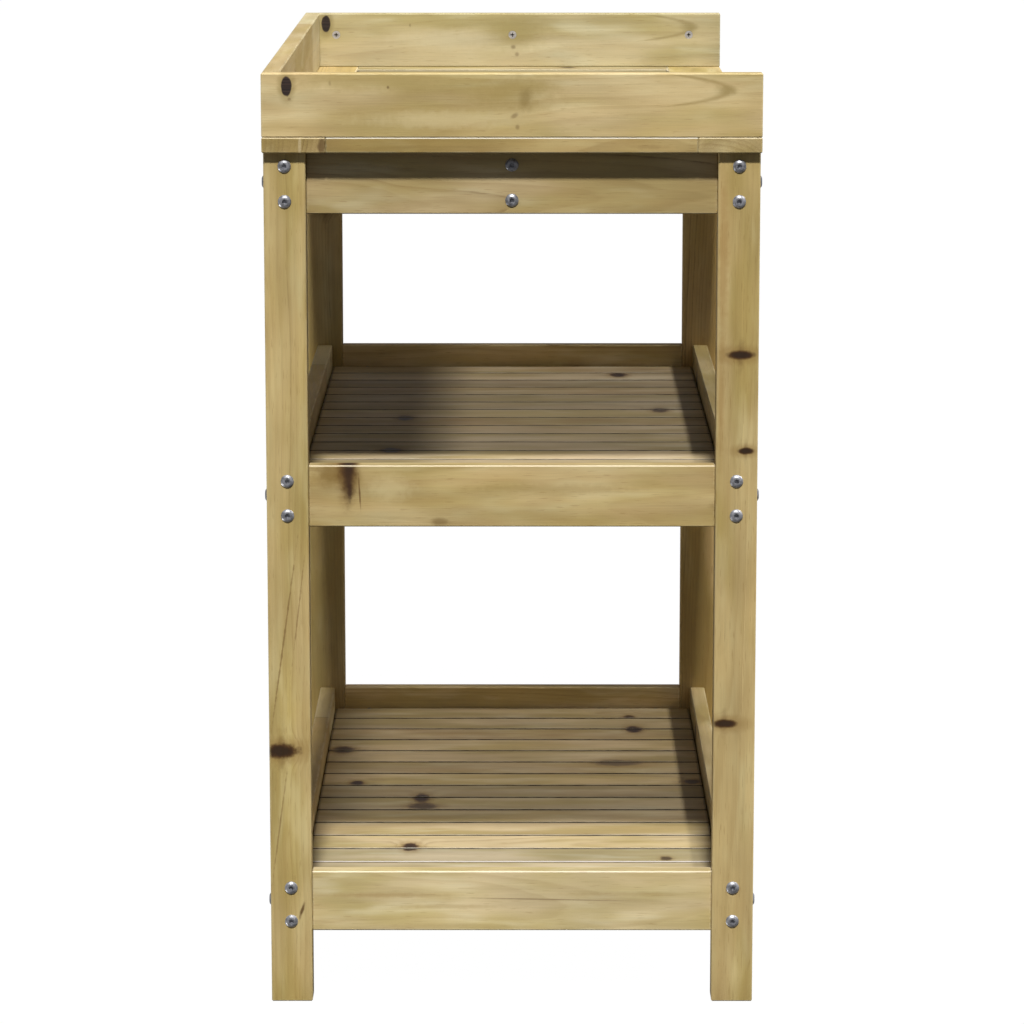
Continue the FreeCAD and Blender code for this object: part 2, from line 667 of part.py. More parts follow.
# the rod lies across the rail; the tapped hole faces the bolt
ACROSS_Y = FreeCAD.Rotation(V(1, 0, 0), 90)                       # rod along Y, hole along X
ACROSS_X = FreeCAD.Rotation(V(0, 0, 1), 90).multiply(FreeCAD.Rotation(V(1, 0, 0), 90))
place("barrel_nuts", nut, [(x, y, z, ACROSS_Y if a == "y" else ACROSS_X)
                           for x, y, z, a in nut_spots])

# Countersunk screw: head face at z = 0, point along +Z, cross recess in the head.
screw_solid = doc.addObject("Part::Cylinder", "screw_shank")
screw_solid.setExpression("Radius", ex("@screw_rad"))
screw_solid.setExpression("Height", ex("@screw_long - 3"))
screw_head = doc.addObject("Part::Cone", "screw_head")
screw_head.setExpression("Radius1", ex("@screw_head_rad"))
screw_head.setExpression("Radius2", ex("@screw_rad"))
screw_head.setExpression("Height", ex("@screw_head_rad - @screw_rad"))
screw_tip = doc.addObject("Part::Cone", "screw_tip")
screw_tip.setExpression("Radius1", ex("@screw_rad"))
screw_tip.Radius2 = 0.3
screw_tip.Height = 3.0
screw_tip.setExpression("Placement.Base.z", ex("@screw_long - 3"))
screw_all = doc.addObject("Part::MultiFuse", "screw_blank")
screw_all.Shapes = [screw_solid, screw_head, screw_tip]
arms = []
for k in range(2):
    arm = doc.addObject("Part::Box", "cross_arm_%d" % (k + 1))
    arm.Length, arm.Width, arm.Height = (4.4, 0.9, 1.9) if k == 0 else (0.9, 4.4, 1.9)
    arm.Placement = FreeCAD.Placement(V(-arm.Length.Value / 2, -arm.Width.Value / 2, -0.4),
                                      FreeCAD.Rotation())
    arms.append(arm)
heart = doc.addObject("Part::Cone", "cross_heart")
heart.Radius1, heart.Radius2, heart.Height = 1.25, 0.4, 2.3
heart.Placement = FreeCAD.Placement(V(0, 0, -0.1), FreeCAD.Rotation())
cross = doc.addObject("Part::MultiFuse", "cross_recess")
cross.Shapes = arms + [heart]
screw = doc.addObject("Part::Cut", "screw_pattern")
screw.Base, screw.Tool = screw_all, cross
doc.recompute()

UP = FreeCAD.Rotation()
screw_spots = []
for base in ("@middle_base", "@lower_base"):
    z = "%s + @rail_tall - @slat_drop - @slat_thick - @batten_thick" % base
    for sy in (-1, 1):
        for i in range(int(num("@shelf_slats"))):
            x = "-%s + %s + @slat_wide / 2 + %d * (@slat_wide + %s)" % (LEG_XI, SHELF_GAP, i, SHELF_GAP)
            screw_spots.append((x, "%d * (%s - @batten_wide / 2)" % (sy, RAIL_YI), z, UP))
for sy in (-1, 1):
    z = "%s - @batten_thick" % TOP_UNDER
    slat_y = "%d * (%s / 2 - @batten_wide / 4)" % (sy, TOP_WIDE)
    edge_y = "%d * (%s / 2 + @batten_wide / 4)" % (sy, TOP_WIDE)
    for i in range(int(num("@top_slats"))):
        x = "-%s / 2 + %s + @slat_wide / 2 + %d * (@slat_wide + %s)" % (TOP_LONG, TOP_GAP, i, TOP_GAP)
        screw_spots.append((x, slat_y, z, UP))
    lap = "((@border_wide - @leg_end_gap - @leg_thin) / 2)"
    for sx in (-1, 1):
        screw_spots.append(("%d * (%s - %s)" % (sx, LEG_XI, lap), slat_y, z, UP))
    for u in BORDER_SPOTS:
        screw_spots.append(("%s - %s" % (u, LEG_XI), edge_y, z, UP))
for sx in (-1, 1):
    for k in ("0.12", "0.5", "0.88"):
        screw_spots.append(("%d * (@bench_long / 2 - @trim_thin / 2)" % sx,
                            "%s * %s - %s / 2" % (TOP_WIDE, k, TOP_WIDE), TOP_UNDER, UP))
for k in ("0.14", "0.32", "0.5", "0.68", "0.86"):
    screw_spots.append(("@bench_long * %s - @bench_long / 2" % k,
                        "@bench_deep / 2 - @trim_thin / 2", TOP_UNDER, UP))
for k in (-1, 0, 1):
    screw_spots.append(("@bench_long / 2 - @trim_thin", "%d * @hook_pitch" % k, "@hook_height",
                        toward(1, 0, 0)))
place("wood_screws", screw, screw_spots)

# Tool hook: a boss that the screw enters, a dropped wire and an upturned end.
# Its own origin is on the board's outer face, on the screw's axis; +Z is out
# of the board and +X is down.
parts = []


def prim(kind, name, at, rot=None, **sizes):
    obj = doc.addObject(kind, name)
    for key, text in sizes.items():
        obj.setExpression(key, ex(text))
    obj.Placement = FreeCAD.Placement(V(*[num(t) for t in at]), rot or FreeCAD.Rotation())
    for axis, text in zip("xyz", at):
        obj.setExpression("Placement.Base.%s" % axis, ex(text))
    parts.append(obj)
    return obj


WIRE = "@hook_wire_rad"
BEND = "@hook_bend_rad"
prim("Part::Cylinder", "hook_flange", ("0", "0", "0"), Radius="8.5", Height="2")
prim("Part::Cylinder", "hook_boss", ("0", "0", "0"), Radius="5", Height="12")
prim("Part::Cylinder", "hook_drop", ("0", "0", "9"), toward(1, 0, 0), Radius=WIRE, Height="16")
bend = prim("Part::Torus", "hook_bend", ("16", "0", "9 + %s" % BEND),
            FreeCAD.Rotation(V(0, 0, -1), V(1, 0, 0), V(0, -1, 0), "XYZ"), Radius1=BEND, Radius2=WIRE)
bend.Angle3 = 180.0
prim("Part::Cylinder", "hook_rise", ("16 - 10", "0", "9 + 2 * %s" % BEND), toward(1, 0, 0),
     Radius=WIRE, Height="10")
prim("Part::Sphere", "hook_knob", ("16 - 11", "0", "9 + 2 * %s" % BEND), Radius="3.6")
hook_all = doc.addObject("Part::MultiFuse", "hook_blank")
hook_all.Shapes = parts
hook_bore = doc.addObject("Part::Cylinder", "hook_bore")
hook_bore.setExpression("Radius", ex("@screw_hole_rad"))
hook_bore.Height = 11.0
hook_bore.Placement = FreeCAD.Placement(V(0, 0, -0.5), FreeCAD.Rotation())
hook = doc.addObject("Part::Cut", "hook_pattern")
hook.Base, hook.Tool = hook_all, hook_bore
doc.recompute()
# hook +Z -> bench +X, hook +X -> bench -Z
HANG = FreeCAD.Rotation(V(0, 0, -1), V(0, 1, 0), V(1, 0, 0), "XYZ")
place("tool_hooks", hook, [("@bench_long / 2", "%d * @hook_pitch" % k, "@hook_height", HANG)
                           for k in (-1, 0, 1)])

# ----------------------------------------------------------------- checks ---
doc.recompute()
for obj in doc.Objects:
    bad = [s for s in obj.State if s in ("Invalid", "Error")]
    if bad:
        raise RuntimeError("%s (%s) is %s" % (obj.Name, obj.Label, obj.State))
for body, cut, count, radius, deep in CUTS:
    base = cut.BaseFeature
    gone = base.Shape.Volume - cut.Shape.Volume
    want = count * math.pi * num(radius) ** 2
    if deep is not None:
        want *= num(deep)
    else:
        want *= min(body.Shape.BoundBox.XLength, body.Shape.BoundBox.YLength)
    if gone < 0.7 * want:
        raise RuntimeError("%s of %s removed %.0f of %.0f mm3" % (cut.Name, body.Label, gone, want))
if not 25 < BOLT_WHOLE - BOLT_CUT < 60:
    raise RuntimeError("the bolt's socket removed %.1f mm3" % (BOLT_WHOLE - BOLT_CUT))
for node, count in ((NODES[-4], 40), (NODES[-3], 40), (NODES[-2], 116), (NODES[-1], 3)):
    if len(node.Shape.Solids) != count:
        raise RuntimeError("%s has %d solids" % (node.Label, len(node.Shape.Solids)))
labels = [n.Label for n in NODES]
if len(set(labels)) != len(labels) or len(labels) > 60:
    raise RuntimeError("labels repeat or are too many: %d" % len(labels))
for node in NODES:
    if node.Shape.isNull() or not node.Shape.isValid() or not node.Shape.Solids:
        raise RuntimeError("%s has no valid solid" % node.Label)

os.makedirs("parts", exist_ok=True)
for node in NODES:
    node.Shape.exportStep("parts/%s.step" % node.Label)
    box = node.Shape.BoundBox
    print("%-26s %3d solid(s)  %7.1f %7.1f %7.1f  to %7.1f %7.1f %7.1f" % (
        node.Label, len(node.Shape.Solids), box.XMin, box.YMin, box.ZMin,
        box.XMax, box.YMax, box.ZMax))
print(len(NODES), "nodes")
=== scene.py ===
import bpy, math, random
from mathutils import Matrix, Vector


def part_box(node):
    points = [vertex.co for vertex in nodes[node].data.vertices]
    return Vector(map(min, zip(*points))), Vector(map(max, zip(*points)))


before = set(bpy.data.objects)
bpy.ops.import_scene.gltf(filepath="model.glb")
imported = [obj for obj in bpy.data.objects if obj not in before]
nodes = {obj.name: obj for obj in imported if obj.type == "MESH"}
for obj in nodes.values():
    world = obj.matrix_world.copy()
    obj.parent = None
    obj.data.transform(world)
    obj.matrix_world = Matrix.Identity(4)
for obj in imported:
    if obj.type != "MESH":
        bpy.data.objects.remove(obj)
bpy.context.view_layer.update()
scene = bpy.context.scene


# ---------------------------------------------------------------- node helper
def lin(c):
    """sRGB 0-255 to linear RGBA."""
    out = []
    for v in c[:3]:
        v /= 255.0
        out.append(v / 12.92 if v <= 0.04045 else ((v + 0.055) / 1.055) ** 2.4)
    return tuple(out) + (1.0,)


class Net:
    """A short way to write a material's nodes: numbers, tuples and sockets all go in as inputs."""

    def __init__(self, name):
        self.mat = bpy.data.materials.new(name)
        self.mat.use_nodes = True
        self.t = self.mat.node_tree
        self.t.nodes.clear()
        self.count = 0

    def add(self, kind, **props):
        n = self.t.nodes.new(kind)
        n.location = (180 * (self.count % 12), -220 * (self.count // 12))
        self.count += 1
        for k, v in props.items():
            setattr(n, k, v)
        return n

    def put(self, socket, value):
        if isinstance(value, bpy.types.NodeSocket):
            self.t.links.new(value, socket)
        elif value is not None:
            if isinstance(value, (int, float)) and socket.type in ("VECTOR", "RGBA"):
                value = (value,) * (3 if socket.type == "VECTOR" else 4)
            socket.default_value = value

    def m(self, op, a, b=None, c=None, clamp=False):
        n = self.add("ShaderNodeMath", operation=op, use_clamp=clamp)
        for s, v in zip(n.inputs, (a, b, c)):
            self.put(s, v)
        return n.outputs[0]

    def v(self, op, a, b=None, scale=None):
        n = self.add("ShaderNodeVectorMath", operation=op)
        self.put(n.inputs[0], a)
        if b is not None:
            self.put(n.inputs[1], b)
        if scale is not None:
            self.put(n.inputs["Scale"], scale)
        return n.outputs["Value"] if op in ("LENGTH", "DOT_PRODUCT", "DISTANCE") else n.outputs["Vector"]

    def xyz(self, x, y, z):
        n = self.add("ShaderNodeCombineXYZ")
        for s, v in zip(n.inputs, (x, y, z)):
            self.put(s, v)
        return n.outputs[0]

    def split(self, vec):
        n = self.add("ShaderNodeSeparateXYZ")
        self.put(n.inputs[0], vec)
        return n.outputs[0], n.outputs[1], n.outputs[2]

    def step(self, x, a, b, lo=0.0, hi=1.0):
        """lo at a, hi at b, smooth between; a may be above b."""
        if a > b:
            a, b, lo, hi = b, a, hi, lo
        n = self.add("ShaderNodeMapRange", interpolation_type="SMOOTHSTEP")
        for s, v in zip(n.inputs, (x, a, b, lo, hi)):
            self.put(s, v)
        return n.outputs[0]

    def line(self, x, a, b, lo=0.0, hi=1.0):
        n = self.add("ShaderNodeMapRange", clamp=True)
        for s, v in zip(n.inputs, (x, a, b, lo, hi)):
            self.put(s, v)
        return n.outputs[0]

    def noise(self, vec, scale=1.0, detail=2.0, rough=0.5, dist=0.0, colour=False):
        n = self.add("ShaderNodeTexNoise", noise_dimensions="3D")
        self.put(n.inputs["Vector"], vec)
        self.put(n.inputs["Scale"], scale)
        self.put(n.inputs["Detail"], detail)
        self.put(n.inputs["Roughness"], rough)
        self.put(n.inputs["Distortion"], dist)
        return n.outputs["Color" if colour else "Fac"]

    def noise1(self, w, scale=1.0, detail=1.0):
        n = self.add("ShaderNodeTexNoise", noise_dimensions="1D")
        self.put(n.inputs["W"], w)
        self.put(n.inputs["Scale"], scale)
        self.put(n.inputs["Detail"], detail)
        return n.outputs["Fac"]

    def white1(self, w, colour=False):
        n = self.add("ShaderNodeTexWhiteNoise", noise_dimensions="1D")
        self.put(n.inputs["W"], w)
        return n.outputs["Color" if colour else "Value"]

    def mix(self, fac, a, b, mode="MIX"):
        n = self.add("ShaderNodeMix", data_type="RGBA", blend_type=mode)
        n.clamp_factor = True
        self.put(n.inputs[0], fac)
        self.put(n.inputs[6], a)
        self.put(n.inputs[7], b)
        return n.outputs[2]

    def shade(self, colour, factor):
        """Colour times a plain number."""
        return self.mix(1.0, colour, self.xyz(factor, factor, factor), "MULTIPLY")

    def finish(self, colour, rough, height, metallic=0.0, specular=0.5, bump=0.4, distance=0.0003, **plain):
        p = self.add("ShaderNodeBsdfPrincipled")
        self.put(p.inputs["Base Color"], colour)
        self.put(p.inputs["Roughness"], rough)
        self.put(p.inputs["Metallic"], metallic)
        self.put(p.inputs["Specular IOR Level"], specular)
        for k, v in plain.items():
            self.put(p.inputs[k], v)
        b = self.add("ShaderNodeBump")
        self.put(b.inputs["Strength"], bump)
        self.put(b.inputs["Distance"], distance)
        self.put(b.inputs["Height"], height)
        self.t.links.new(b.outputs[0], p.inputs["Normal"])
        out = self.add("ShaderNodeOutputMaterial")
        self.t.links.new(p.outputs[0], out.inputs[0])
        return self.mat


# ------------------------------------------------------------------ wood
# Impregnated pine. Tones are the board's own colour, before any light.
TAN = lin((214, 190, 140))        # dry, slightly pink earlywood
PALE = lin((222, 205, 158))
OLIVE = lin((190, 168, 108))      # where the green salt took more
BROWN = lin((176, 142, 86))
LATE = lin((150, 118, 66))        # the dark half of a growth ring
AMBER = lin((154, 120, 64))
END = lin((150, 124, 78))


def wood(name, grain, lo, hi, seed, spacing=4.0, contrast=0.5, pith=None, tilt=None,
         knots=(), stains=(), brown=0.0, light=1.0, tint=(1, 1, 1), repeat=None, seam=None, flat=None,
         wear=0.42, side=None, grimy=False, bold=0.5, dim=None, ends=0.62, lip=0.0):
    """One board's material. grain is the axis its fibres run along; knots and stains are in
    millimetres of the row frame. Everything is worked out in the board's own frame: u along
    the grain, v across its broad face and w through its thickness, in millimetres."""
    rng = random.Random(seed)
    n = Net(name)
    size = {a: (hi[i] - lo[i]) * 1000 for i, a in enumerate("xyz")}
    mid = {a: (hi[i] + lo[i]) / 2 * 1000 for i, a in enumerate("xyz")}
    if repeat:
        size[repeat[0]] = repeat[2]
    across = sorted((a for a in "xyz" if a != grain), key=lambda a: -size[a])
    if flat:
        across = list(flat)
    order = (grain, across[0], across[1])
    tc = n.add("ShaderNodeTexCoord")
    obj = n.v("SCALE", tc.outputs["Object"], scale=1000.0)
    comp = dict(zip("xyz", n.split(obj)))
    local = {}
    k_id = None
    for a in "xyz":
        if repeat and a == repeat[0]:
            start, pitch = repeat[1], repeat[3]
            q = n.m("DIVIDE", n.m("SUBTRACT", comp[a], start), pitch)
            k_id = n.m("FLOOR", q)
            local[a] = n.m("MULTIPLY", n.m("SUBTRACT", n.m("SUBTRACT", q, k_id), 0.5), pitch)
        else:
            local[a] = n.m("SUBTRACT", comp[a], mid[a])
    u, v, w = (local[a] for a in order)
    hu, hv, hw = (size[a] / 2 for a in order)
    if k_id is None:
        jump = tuple(rng.uniform(-900, 900) for _ in range(3))
        uvw = n.xyz(u, v, w)
        p = n.v("ADD", uvw, jump)
        rnd = None
    else:
        rc = n.white1(n.m("ADD", k_id, seed * 7.31), colour=True)
        rnd = n.split(rc)
        uvw = n.xyz(u, v, w)
        p = n.v("ADD", uvw, n.v("SCALE", rc, scale=1700.0))

    # where the tree's pith ran, beside this board
    if pith is None:
        if rng.random() < 0.6:      # flat-sawn: cathedral grain on the broad face
            pith = (rng.uniform(-0.6, 0.6) * hv, rng.choice((-1, 1)) * rng.uniform(22, 55))
        else:                       # nearer quarter-sawn: straight lines
            pith = (rng.choice((-1, 1)) * rng.uniform(45, 95), rng.uniform(-20, 20))
    if tilt is None:
        tilt = (rng.uniform(-0.03, 0.03), rng.choice((-1, 1)) * rng.uniform(0.015, 0.05))
    warp = n.noise(n.v("MULTIPLY", p, (0.0045, 0.02, 0.02)), 1.0, 1.0, 0.5, colour=True)
    wx, wy, wz = n.split(warp)
    fine = n.noise(n.v("MULTIPLY", p, (0.02, 0.12, 0.12)), 1.0, 1.0, 0.5, colour=True)
    fx, fy, fz = n.split(fine)
    pv, pw = pith
    if rnd:
        pv = n.m("MULTIPLY_ADD", rnd[0], 70.0, pith[0] - 35.0)
        pw = n.m("MULTIPLY_ADD", rnd[1], 40.0, pith[1] - 20.0)
    dv = n.m("SUBTRACT", v, pv)
    dw = n.m("SUBTRACT", w, pw)
    dv = n.m("MULTIPLY_ADD", u, -tilt[0], dv)
    dw = n.m("MULTIPLY_ADD", u, -tilt[1], dw)
    dv = n.m("MULTIPLY_ADD", wx, 14.0, dv)
    dw = n.m("MULTIPLY_ADD", wy, 14.0, dw)
    r = n.v("LENGTH", n.xyz(dv, dw, 0.0))
    r = n.m("MULTIPLY_ADD", fx, 1.6, r)

    # knots bend the rings round them
    wob = n.noise(n.v("MULTIPLY", p, (0.16, 0.16, 0.16)), 1.0, 2.0, 0.6)
    masks = []
    for kn in knots:
        at = [(kn["at"][i] if kn["at"][i] is not None else mid[a]) - (0 if repeat and a == repeat[0] else mid[a])
              for i, a in enumerate("xyz")]
        at = dict(zip("xyz", at))
        face = kn.get("face")           # the axis the knot runs along
        axes = [a for a in order if a != face]
        radii = kn["r"]                 # mm, along the grain first
        parts = []
        for a, rad in zip(axes, radii):
            parts.append(n.m("DIVIDE", n.m("SUBTRACT", local[a], at[a]), rad))
        if kn.get("slant"):             # (dx per mm): the second axis drifts with the first
            parts[1] = n.m("MULTIPLY_ADD", parts[0], kn["slant"], parts[1])
        d = n.v("LENGTH", n.xyz(parts[0], parts[1], 0.0))
        d = n.m("MULTIPLY_ADD", n.m("SUBTRACT", wob, 0.5), kn.get("wild", 0.5), d)
        if kn.get("deep"):              # fades with depth from the face at this coordinate
            gone = n.step(n.m("ABSOLUTE", n.m("SUBTRACT", local[face], at[face])), kn["deep"] * 0.6, kn["deep"], 0.0, 3.0)
            d = n.m("ADD", d, gone)
        if not (kn.get("streak") or kn.get("black")):
            kn = dict(kn, tail=n.m("ADD", n.v("LENGTH", n.xyz(n.m("DIVIDE", parts[0], 4.2), n.m("MULTIPLY", parts[1], 2.6), 0.0)),
                                   n.m("MULTIPLY", n.m("SUBTRACT", wob, 0.5), 1.1)))
        masks.append((kn, d))
        if not kn.get("streak"):
            e = n.m("POWER", 2.718, n.m("MULTIPLY", n.m("MULTIPLY", d, d), -0.35))
            r = n.m("MULTIPLY_ADD", e, 0.9 * sum(radii) / 2, r)

    rx = n.m("DIVIDE", r, spacing)
    rx = n.m("MULTIPLY_ADD", n.noise1(n.m("ADD", r, seed * 13.7), 0.05, 1.0), 2.4, rx)
    ring = n.m("FLOOR", rx)
    f = n.m("SUBTRACT", rx, ring)
    late = n.m("MULTIPLY", n.step(f, 0.30, 0.90), n.step(f, 1.0, 0.90))
    luck = n.white1(n.m("ADD", ring, seed * 3.1))
    late = n.m("MULTIPLY", late, n.line(luck, 0.0, 1.0, 0.30, 1.0))
    # a few rings stand out as thin broken dark lines
    bold_at = n.m("MULTIPLY", n.step(f, 0.72, 0.86), n.step(f, 1.0, 0.92))
    bold_at = n.m("MULTIPLY", bold_at, n.step(luck, 0.84, 0.90))
    bold_at = n.m("MULTIPLY", bold_at, n.step(n.noise(n.v("MULTIPLY", p, (0.05, 0.5, 0.5)), 1.0, 2.0, 0.7), 0.40, 0.66))

    # fibres, resin dashes and broad tone
    fib = n.noise(n.v("MULTIPLY", p, (0.014, 0.85, 0.85)), 1.0, 3.0, 0.62)
    hair = n.noise(n.v("MULTIPLY", p, (0.05, 3.0, 3.0)), 1.0, 1.0, 0.5)
    dash = n.noise(n.v("MULTIPLY", p, (0.07, 1.15, 1.15)), 1.0, 0.0, 0.5)
    broad = n.noise(n.v("MULTIPLY", p, (0.0065, 0.026, 0.026)), 1.0, 2.0, 0.5)
    patch = n.noise(n.v("ADD", n.v("MULTIPLY", p, (0.011, 0.05, 0.05)), (7.7, 3.1, 9.2)), 1.0, 2.0, 0.55)

    col = n.mix(n.step(broad, 0.36, 0.64), OLIVE, TAN)
    col = n.mix(n.step(patch, 0.52, 0.78, 0.0, 0.7), col, PALE)
    tone = brown if not rnd else n.m("MULTIPLY_ADD", rnd[2], 0.45, brown)
    col = n.mix(n.m("MULTIPLY", n.step(patch, 0.62, 0.30, 0.25, 1.0), tone), col, BROWN)
    col = n.mix(n.m("MULTIPLY", late, contrast * 0.62), col, LATE)
    col = n.mix(n.m("MULTIPLY", bold_at, bold), col, lin((112, 84, 44)))
    # broad light and dark bands down the board, then the fibres
    band = n.noise(n.v("ADD", n.v("MULTIPLY", p, (0.0032, 0.055, 0.055)), (3.3, 8.8, 1.1)), 1.0, 1.0, 0.5)
    blot = n.noise(n.v("ADD", n.v("MULTIPLY", p, (0.010, 0.022, 0.022)), (9.3, 2.8, 6.1)), 1.0, 2.0, 0.5)
    grainy = n.m("MULTIPLY_ADD", n.m("SUBTRACT", band, 0.5), 0.42, 1.0)
    grainy = n.m("MULTIPLY_ADD", n.m("SUBTRACT", blot, 0.5), 0.44, grainy)
    grainy = n.m("MULTIPLY_ADD", n.m("SUBTRACT", fib, 0.5), 0.24, grainy)
    grainy = n.m("MULTIPLY_ADD", n.m("SUBTRACT", hair, 0.5), 0.14, grainy)
    col = n.shade(col, grainy)
    col = n.mix(n.step(dash, 0.70, 0.80, 0.0, 0.35), col, LATE)

    for st in stains:
        at = dict(zip("xyz", ((st["at"][i] if st["at"][i] is not None else mid[a]) - mid[a] for i, a in enumerate("xyz"))))
        axes = [a for a in order if a != st["face"]]
        parts = [n.m("DIVIDE", n.m("SUBTRACT", local[a], at[a]), rad) for a, rad in zip(axes, st["r"])]
        if st.get("slant"):
            parts[1] = n.m("MULTIPLY_ADD", parts[0], st["slant"], parts[1])
        d = n.v("LENGTH", n.xyz(parts[0], parts[1], 0.0))
        if st.get("arc"):               # only the ellipse's own line, near its tip
            d = n.m("DIVIDE", n.m("ABSOLUTE", n.m("SUBTRACT", d, 1.0)), st["arc"])
            d = n.m("ADD", d, n.step(parts[0], -0.84, -0.60, 0.0, 1.2))
        d = n.m("MULTIPLY_ADD", n.m("SUBTRACT", wob, 0.5), 0.7, d)
        if st.get("deep"):
            d = n.m("ADD", d, n.step(n.m("ABSOLUTE", n.m("SUBTRACT", local[st["face"]], at[st["face"]])),
                                     st["deep"] * 0.6, st["deep"], 0.0, 3.0))
        col = n.mix(n.step(d, 1.15, st.get("core", 0.2), 0.0, st.get("amount", 0.5)), col, lin(st["colour"]))

    knotty = None
    for kn, d in masks:
        dark = kn.get("dark", 1.0)
        if kn.get("streak"):
            col = n.mix(n.step(d, 1.1, 0.25, 0.0, dark), col, lin(kn.get("colour", (104, 78, 42))))
            continue
        if kn.get("black"):             # a loose black knot with a thin green-brown rim
            col = n.mix(n.step(d, 2.2, 1.0, 0.0, 0.55), col, lin((146, 122, 66)))
            inside = n.step(d, 1.10, 0.90)
            cloud = n.mix(n.step(fib, 0.35, 0.70), lin((40, 31, 29)), lin((70, 54, 46)))
            col = n.mix(inside, col, cloud)
        else:                           # a grown-in knot cut across: dark heart, soft amber edge, a tail along the fibres
            col = n.mix(n.step(d, kn.get("halo", 2.5), 0.9, 0.0, 0.50 * min(1.0, dark + 0.25)), col, AMBER)
            tail = kn["tail"]
            col = n.mix(n.step(tail, 1.15, 0.1, 0.0, 0.42 * dark), col, lin((112, 82, 42)))
            rings = n.m("SINE", n.m("MULTIPLY", d, 9.0))
            body = n.mix(n.step(rings, -0.7, 0.8, 0.0, 0.6), lin((78, 52, 28)), lin((104, 74, 42)))
            col = n.mix(n.step(d, 1.22, 0.72, 0.0, min(1.0, 0.35 + 0.75 * dark)), col, body)
            col = n.mix(n.step(d, 0.95, 0.25, 0.0, 0.85 * dark), col, lin((46, 32, 22)))
            inside = n.step(d, 1.10, 0.80)
        knotty = inside if knotty is None else n.m("MAXIMUM", knotty, inside)

    if seam is not None:                # a finger joint: the wood changes and a thin line shows
        x = n.m("SUBTRACT", comp[grain], seam)
        far = n.step(x, -0.8, 0.8)
        col = n.mix(n.m("MULTIPLY", n.m("SUBTRACT", 1.0, far), 0.35), col, BROWN)
        col = n.mix(n.m("MULTIPLY", far, 0.30), col, PALE)
        col = n.mix(n.step(n.m("ABSOLUTE", x), 1.1, 0.3, 0.0, 0.6), col, lin((96, 74, 44)))

    # sawn ends drink more of the salt and show their rings
    normal = n.split(tc.outputs["Normal"])
    facing = [n.m("ABSOLUTE", c) for c in normal]
    end = n.step(facing["xyz".index(grain)], 0.80, 0.95)
    saw = n.noise(n.v("MULTIPLY", uvw, (0.5, 0.15, 1.6)), 1.0, 2.0, 0.6)
    end_col = n.mix(n.m("MULTIPLY", late, 0.6), END, lin((112, 86, 48)))
    end_col = n.shade(end_col, n.m("MULTIPLY_ADD", n.m("SUBTRACT", saw, 0.5), 0.5, 1.0))
    col = n.mix(n.m("MULTIPLY", end, ends), col, end_col)

    # rubbed arrises: the middle of the three distances to the board's sides
    au = n.m("SUBTRACT", hu, n.m("ABSOLUTE", u))
    av = n.m("SUBTRACT", hv, n.m("ABSOLUTE", v))
    aw = n.m("SUBTRACT", hw, n.m("ABSOLUTE", w))
    top = n.m("MAXIMUM", n.m("MAXIMUM", au, av), aw)
    low = n.m("MINIMUM", n.m("MINIMUM", au, av), aw)
    total = n.m("ADD", n.m("ADD", au, av), aw)
    edge = n.m("SUBTRACT", n.m("SUBTRACT", total, top), low)
    worn = n.m("MULTIPLY", n.step(edge, 2.4, 0.4), n.step(n.noise(n.v("MULTIPLY", p, (0.05, 0.3, 0.3)), 1.0, 2.0, 0.6), 0.35 if wear < 0.6 else 0.22, 0.62))
    if side:                            # the narrow sides differ: painted shade darkens the slats' sides and lower bevels in the gaps, a weathered tone sits at the worktop's edge
        turned = facing["xyz".index(order[1])]
        flank = n.m("MULTIPLY", n.step(turned, 0.35, 0.60), n.step(aw, 0.12, 0.42)) if grimy else n.step(turned, 0.80, 0.95)
        col = n.mix(flank, col, n.mix(1.0, col, tuple(side) + (1.0,), "MULTIPLY"))
    col = n.mix(n.m("MULTIPLY", worn, wear), col, PALE if wear < 0.6 else lin((236, 222, 186)))
    if lip:                             # painted highlight: the upward-facing bevels are lightened as if catching light from above
        lit_bevel_mask = n.step(n.m("MAXIMUM", n.m("MAXIMUM", facing[0], facing[1]), facing[2]), 0.93, 0.82)
        lit_bevel_mask = n.m("MULTIPLY", lit_bevel_mask, n.step(normal[2], 0.30, 0.55))
        if grimy:                       # only their upper half: the rest lies in the gap, which gets painted shade
            lit_bevel_mask = n.m("MULTIPLY", lit_bevel_mask, n.step(aw, 0.70, 0.40) if lip > 0.5 else n.step(aw, 0.30, 0.12))
            # painted shade: the last 3 mm at each end of a slat is darkened to deepen the gap there
            painted_end_shade = n.step(au, 3.2, 1.4)
            col = n.shade(col, n.m("MULTIPLY_ADD", painted_end_shade, -0.55, 1.0))
        col = n.mix(n.m("MULTIPLY", lit_bevel_mask, lip), col, lin((255, 240, 214)))
    if dim:                             # the last board of a group is a darker one
        col = n.shade(col, n.step(comp[repeat[0]], dim[0] - 1, dim[0] + 1, 1.0, dim[1]))
    # darker brown within 26 mm of each end along the grain, broken up by the fibres
    darker_near_ends = n.m("MULTIPLY", n.step(au, 26.0, 0.0), n.step(fib, 0.40, 0.72))
    col = n.mix(n.m("MULTIPLY", darker_near_ends, 0.30), col, lin((128, 102, 60)))
    if light != 1.0 or tint != (1, 1, 1):
        col = n.mix(1.0, col, tuple(light * t for t in tint) + (1.0,), "MULTIPLY")

